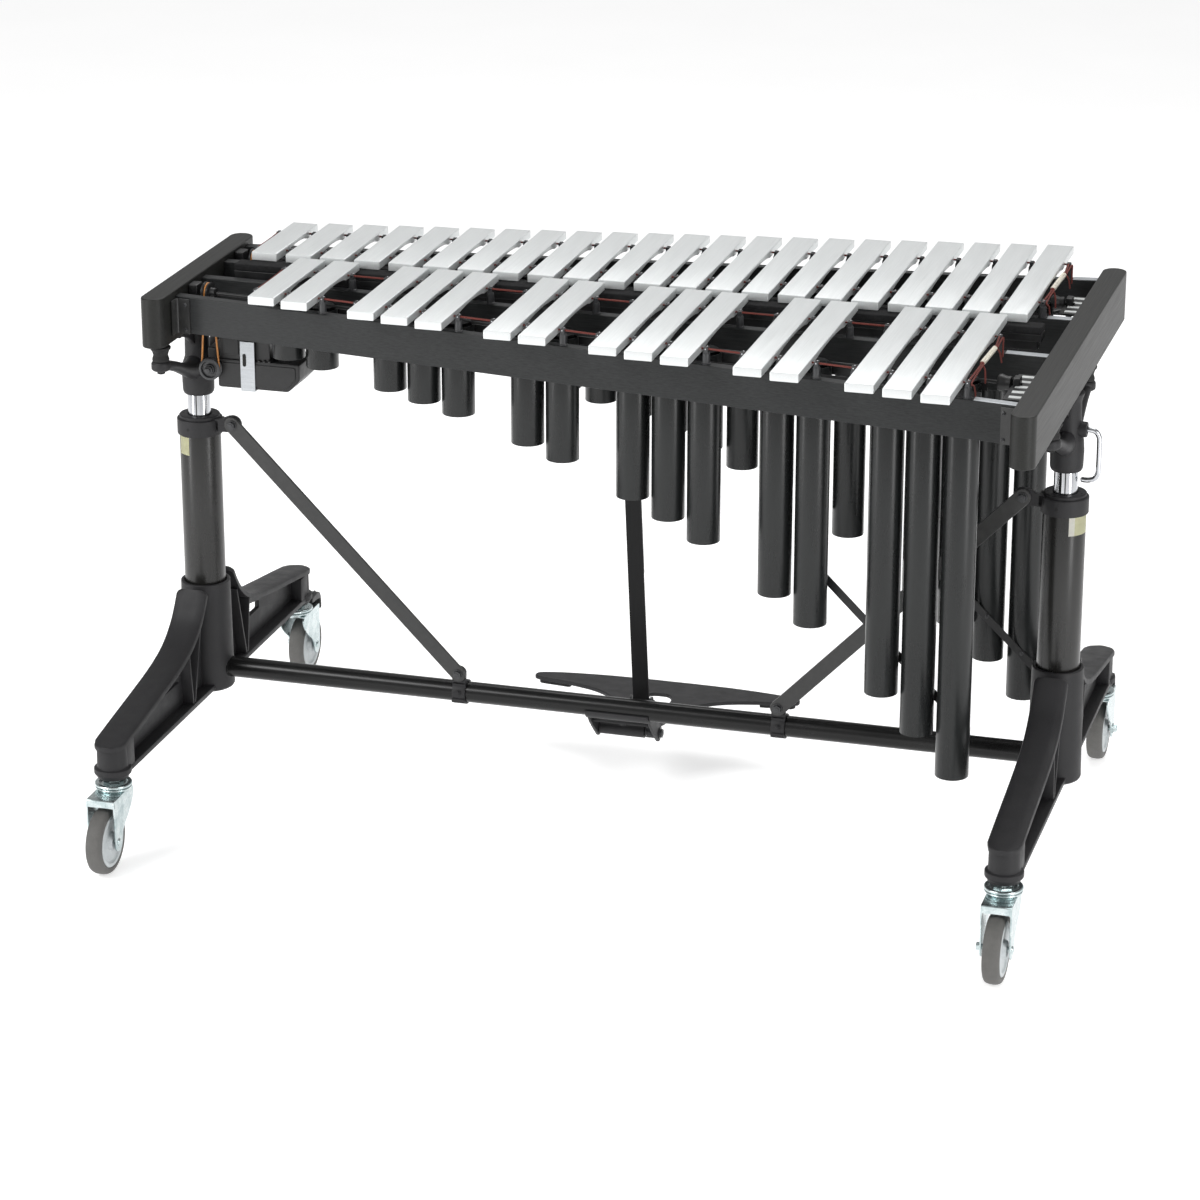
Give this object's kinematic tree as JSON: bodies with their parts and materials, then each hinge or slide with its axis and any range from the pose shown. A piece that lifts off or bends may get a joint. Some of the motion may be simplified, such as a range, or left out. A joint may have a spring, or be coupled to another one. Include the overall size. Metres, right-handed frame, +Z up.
{
  "type": "vibraphone",
  "caption": "Three-octave vibraphone on a height-adjustable column stand with casters, damper pedal, resonators and motor-driven fans.",
  "frame": {"origin": "on the floor at the middle of the plan, midway between the two columns and the front and rear casters", "axes": "+Z up, +X along the keyboard from the high notes to the low notes, +Y towards the player, over the natural bars and the pedal"},
  "size_m": [1.3778, 0.922, 0.803],
  "materials": {
    "bar_metal": "satin-brushed aluminium alloy with softened edges",
    "board_black": "black stained board, satin lacquer, fine lengthwise grain",
    "cast_black": "cast aluminium in fine-textured matte black powder coat",
    "gloss_black": "black enamelled steel tube, semi-gloss",
    "resonator_black": "black anodised thin aluminium tube, satin",
    "chrome": "bright chrome plate",
    "zinc_plate": "zinc-plated pressed steel, faint blue-green tint",
    "tyre_grey": "grey thermoplastic rubber tread on a light grey hub",
    "belt_orange": "translucent orange round urethane belt",
    "plastic_black": "moulded black plastic",
    "felt_black": "dense black damper felt",
    "spring_steel": "spring wire",
    "cord_red": "braided red-brown suspension cord",
    "wheel_hub": "light grey moulded wheel hub",
    "rail_trim": "thin satin metal strip along a rail's top",
    "rubber_black": "black rubber bush or sleeve",
    "label_blank": "blank pale yellow label"
  },
  "bodies": {
    "base": {"base_casting_left": "cast_black", "base_casting_right": "cast_black", "column_tube_left": "gloss_black", "column_tube_right": "gloss_black", "column_collar_left": "cast_black", "column_collar_right": "cast_black", "cross_tube": "gloss_black", "brace_left": "cast_black", "brace_right": "cast_black", "brace_clamp_left": "cast_black", "brace_clamp_right": "cast_black", "pedal_bracket": "cast_black", "pedal_axle": "zinc_plate", "pedal_return_spring": "spring_steel", "caster_stem_front_left": "zinc_plate", "caster_stem_front_right": "zinc_plate", "caster_stem_rear_left": "zinc_plate", "caster_stem_rear_right": "zinc_plate"},
    "upper_frame": {"inner_tube_left": "chrome", "inner_tube_right": "chrome", "column_bracket_left": "cast_black", "column_bracket_right": "cast_black", "end_board_left": "board_black", "end_board_right": "board_black", "front_rail": "board_black", "accidental_inner_rail": "board_black", "natural_inner_rail": "board_black", "rear_rail": "board_black", "natural_bars_high": "bar_metal", "natural_bars_mid": "bar_metal", "natural_bars_low": "bar_metal", "accidental_bars_high": "bar_metal", "accidental_bars_mid": "bar_metal", "accidental_bars_low": "bar_metal", "natural_resonators": "resonator_black", "accidental_resonators": "resonator_black", "motor_housing": "plastic_black", "motor_strap": "chrome", "accidental_fan_belt": "belt_orange", "natural_fan_belt": "belt_orange"},
    "motor_drive": {"motor_shaft": "plastic_black"},
    "accidental_fans": {"accidental_fan_shaft": "zinc_plate"},
    "natural_fans": {"natural_fan_shaft": "zinc_plate"},
    "damper": {"damper_bar": "resonator_black", "damper_felt": "felt_black"},
    "upper_rod": {"upper_pull_rod": "resonator_black"},
    "pedal": {"damper_pedal": "cast_black"},
    "clevis": {"pull_rod_clevis": "zinc_plate"},
    "lower_rod": {"lower_pull_rod": "resonator_black"},
    "lock_lever": {"height_lock_lever": "chrome"},
    "caster_front_left": {"caster_fork_front_left": "zinc_plate"},
    "wheel_front_left": {"caster_wheel_front_left": "tyre_grey"},
    "caster_front_right": {"caster_fork_front_right": "zinc_plate"},
    "wheel_front_right": {"caster_wheel_front_right": "tyre_grey"},
    "caster_rear_left": {"caster_fork_rear_left": "zinc_plate"},
    "wheel_rear_left": {"caster_wheel_rear_left": "tyre_grey"},
    "brake_rear_left": {"caster_brake_lever_rear_left": "plastic_black"},
    "caster_rear_right": {"caster_fork_rear_right": "zinc_plate"},
    "wheel_rear_right": {"caster_wheel_rear_right": "tyre_grey"},
    "brake_rear_right": {"caster_brake_lever_rear_right": "plastic_black"}
  },
  "joints": [
    {"name": "height_slide", "type": "slide", "parent": "base", "child": "upper_frame", "axis": [0, 0, 1], "range_m": [0, 0.17]},
    {"name": "pedal_press", "type": "hinge", "parent": "base", "child": "pedal", "pos_m": [0, 0.05, 0.112], "axis": [-1, 0, 0], "range_deg": [0, 6], "stiffness_Nm_per_rad": 18, "springref_deg": -22.92},
    {"name": "clevis_lift", "type": "slide", "parent": "base", "child": "clevis", "axis": [0, 0, 1], "range_m": [-0.008, 0]},
    {"name": "damper_lift", "type": "slide", "parent": "upper_frame", "child": "damper", "axis": [0, 0, 1], "range_m": [-0.008, 0]},
    {"name": "lower_rod_lean", "type": "hinge", "parent": "clevis", "child": "lower_rod", "pos_m": [0, 0.12, 0.13], "axis": [1, 0, 0], "range_deg": [-1.85, 0]},
    {"name": "upper_rod_lean", "type": "hinge", "parent": "damper", "child": "upper_rod", "pos_m": [0, 0.031, 0.738], "axis": [1, 0, 0], "range_deg": [-1.85, 0]},
    {"name": "motor_spin", "type": "hinge", "parent": "upper_frame", "child": "motor_drive", "pos_m": [-0.6, -0.0623, 0.653], "axis": [0, 1, 0], "continuous": true},
    {"name": "accidental_fan_spin", "type": "hinge", "parent": "upper_frame", "child": "accidental_fans", "pos_m": [0, -0.12001, 0.7675], "axis": [0.9954, -0.0958, 0], "continuous": true},
    {"name": "natural_fan_spin", "type": "hinge", "parent": "upper_frame", "child": "natural_fans", "pos_m": [0, 0.17608, 0.7675], "axis": [0.9966, 0.0822, 0], "continuous": true},
    {"name": "lock_lever_turn", "type": "hinge", "parent": "upper_frame", "child": "lock_lever", "pos_m": [0.665, 0, 0.655], "axis": [1, 0, 0], "range_deg": [-90, 90]},
    {"name": "swivel_front_left", "type": "hinge", "parent": "base", "child": "caster_front_left", "pos_m": [-0.645, -0.374, 0.12], "axis": [0, 0, 1], "continuous": true},
    {"name": "roll_front_left", "type": "hinge", "parent": "caster_front_left", "child": "wheel_front_left", "pos_m": [-0.645, -0.412, 0.049], "axis": [1, 0, 0], "continuous": true},
    {"name": "swivel_front_right", "type": "hinge", "parent": "base", "child": "caster_front_right", "pos_m": [0.645, -0.374, 0.12], "axis": [0, 0, 1], "continuous": true},
    {"name": "roll_front_right", "type": "hinge", "parent": "caster_front_right", "child": "wheel_front_right", "pos_m": [0.645, -0.412, 0.049], "axis": [1, 0, 0], "continuous": true},
    {"name": "swivel_rear_left", "type": "hinge", "parent": "base", "child": "caster_rear_left", "pos_m": [-0.645, 0.374, 0.12], "axis": [0, 0, 1], "continuous": true},
    {"name": "roll_rear_left", "type": "hinge", "parent": "caster_rear_left", "child": "wheel_rear_left", "pos_m": [-0.645, 0.412, 0.049], "axis": [1, 0, 0], "continuous": true},
    {"name": "brake_press_rear_left", "type": "hinge", "parent": "caster_rear_left", "child": "brake_rear_left", "pos_m": [-0.645, 0.421, 0.125], "axis": [-1, 0, 0], "range_deg": [0, 12]},
    {"name": "swivel_rear_right", "type": "hinge", "parent": "base", "child": "caster_rear_right", "pos_m": [0.645, 0.374, 0.12], "axis": [0, 0, 1], "continuous": true},
    {"name": "roll_rear_right", "type": "hinge", "parent": "caster_rear_right", "child": "wheel_rear_right", "pos_m": [0.645, 0.412, 0.049], "axis": [1, 0, 0], "continuous": true},
    {"name": "brake_press_rear_right", "type": "hinge", "parent": "caster_rear_right", "child": "brake_rear_right", "pos_m": [0.645, 0.421, 0.125], "axis": [-1, 0, 0], "range_deg": [0, 12]}
  ],
  "couplings": [
    {"joint": "clevis_lift", "follows": "pedal_press", "m_per_rad": -0.07},
    {"joint": "damper_lift", "follows": "pedal_press", "m_per_rad": -0.07},
    {"joint": "lower_rod_lean", "follows": "height_slide", "rad_per_m": -0.185},
    {"joint": "upper_rod_lean", "follows": "height_slide", "rad_per_m": -0.185},
    {"joint": "accidental_fan_spin", "follows": "motor_spin", "ratio": 1},
    {"joint": "natural_fan_spin", "follows": "motor_spin", "ratio": 1}
  ]
}
